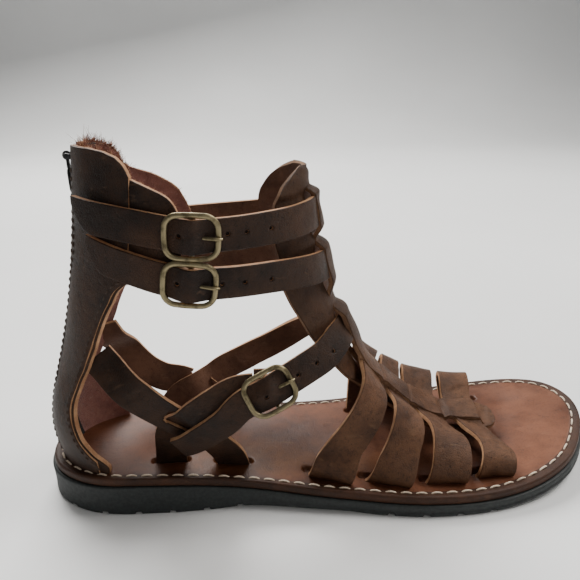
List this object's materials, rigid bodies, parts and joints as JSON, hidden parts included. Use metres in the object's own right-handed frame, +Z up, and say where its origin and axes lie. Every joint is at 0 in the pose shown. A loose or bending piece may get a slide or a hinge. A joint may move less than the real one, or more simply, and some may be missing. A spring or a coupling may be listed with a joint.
{
  "type": "gladiator sandal",
  "caption": "High gladiator sandal for the right foot: leather straps woven through a long tongue, buckled ankle straps, zipped heel counter and a flat rubber sole.",
  "frame": {"origin": "centre of the bounding box on the floor", "axes": "+X to the toe, +Y to the inner side of the right foot, +Z up"},
  "size_m": [0.284, 0.099, 0.1683],
  "materials": {
    "rubber": "matt black rubber with a faint teal tint",
    "footbed": "polished reddish brown footbed leather",
    "leather": "oiled brown leather with tan cut edges",
    "brass": "antique brass",
    "tape": "black woven tape",
    "black_metal": "black lacquered metal"
  },
  "bodies": {
    "sandal": {"outsole": "rubber", "footbed": "footbed", "counter_lateral": "leather", "counter_medial": "leather", "strap_lateral": "leather", "strap_medial": "leather", "strap_buckle": "leather", "strap_instep": "leather", "toe_strap_1": "leather", "toe_strap_2": "leather", "toe_strap_3": "leather", "toe_strap_4": "leather", "ankle_strap_upper": "leather", "buckle_upper": "brass", "ankle_strap_lower": "leather", "buckle_lower": "brass", "buckle_instep": "brass", "prong_upper": "brass", "prong_lower": "brass", "prong_instep": "brass", "tongue": "leather", "zip_tape": "tape", "zip_teeth": "black_metal", "zip_slider": "black_metal"},
    "pull": {"zip_pull": "black_metal"}
  },
  "joints": [
    {"name": "pull_swing", "type": "hinge", "parent": "sandal", "child": "pull", "pos_m": [-0.112, 0, 0.16338], "axis": [0, 1, 0], "range_deg": [0, 165]}
  ]
}
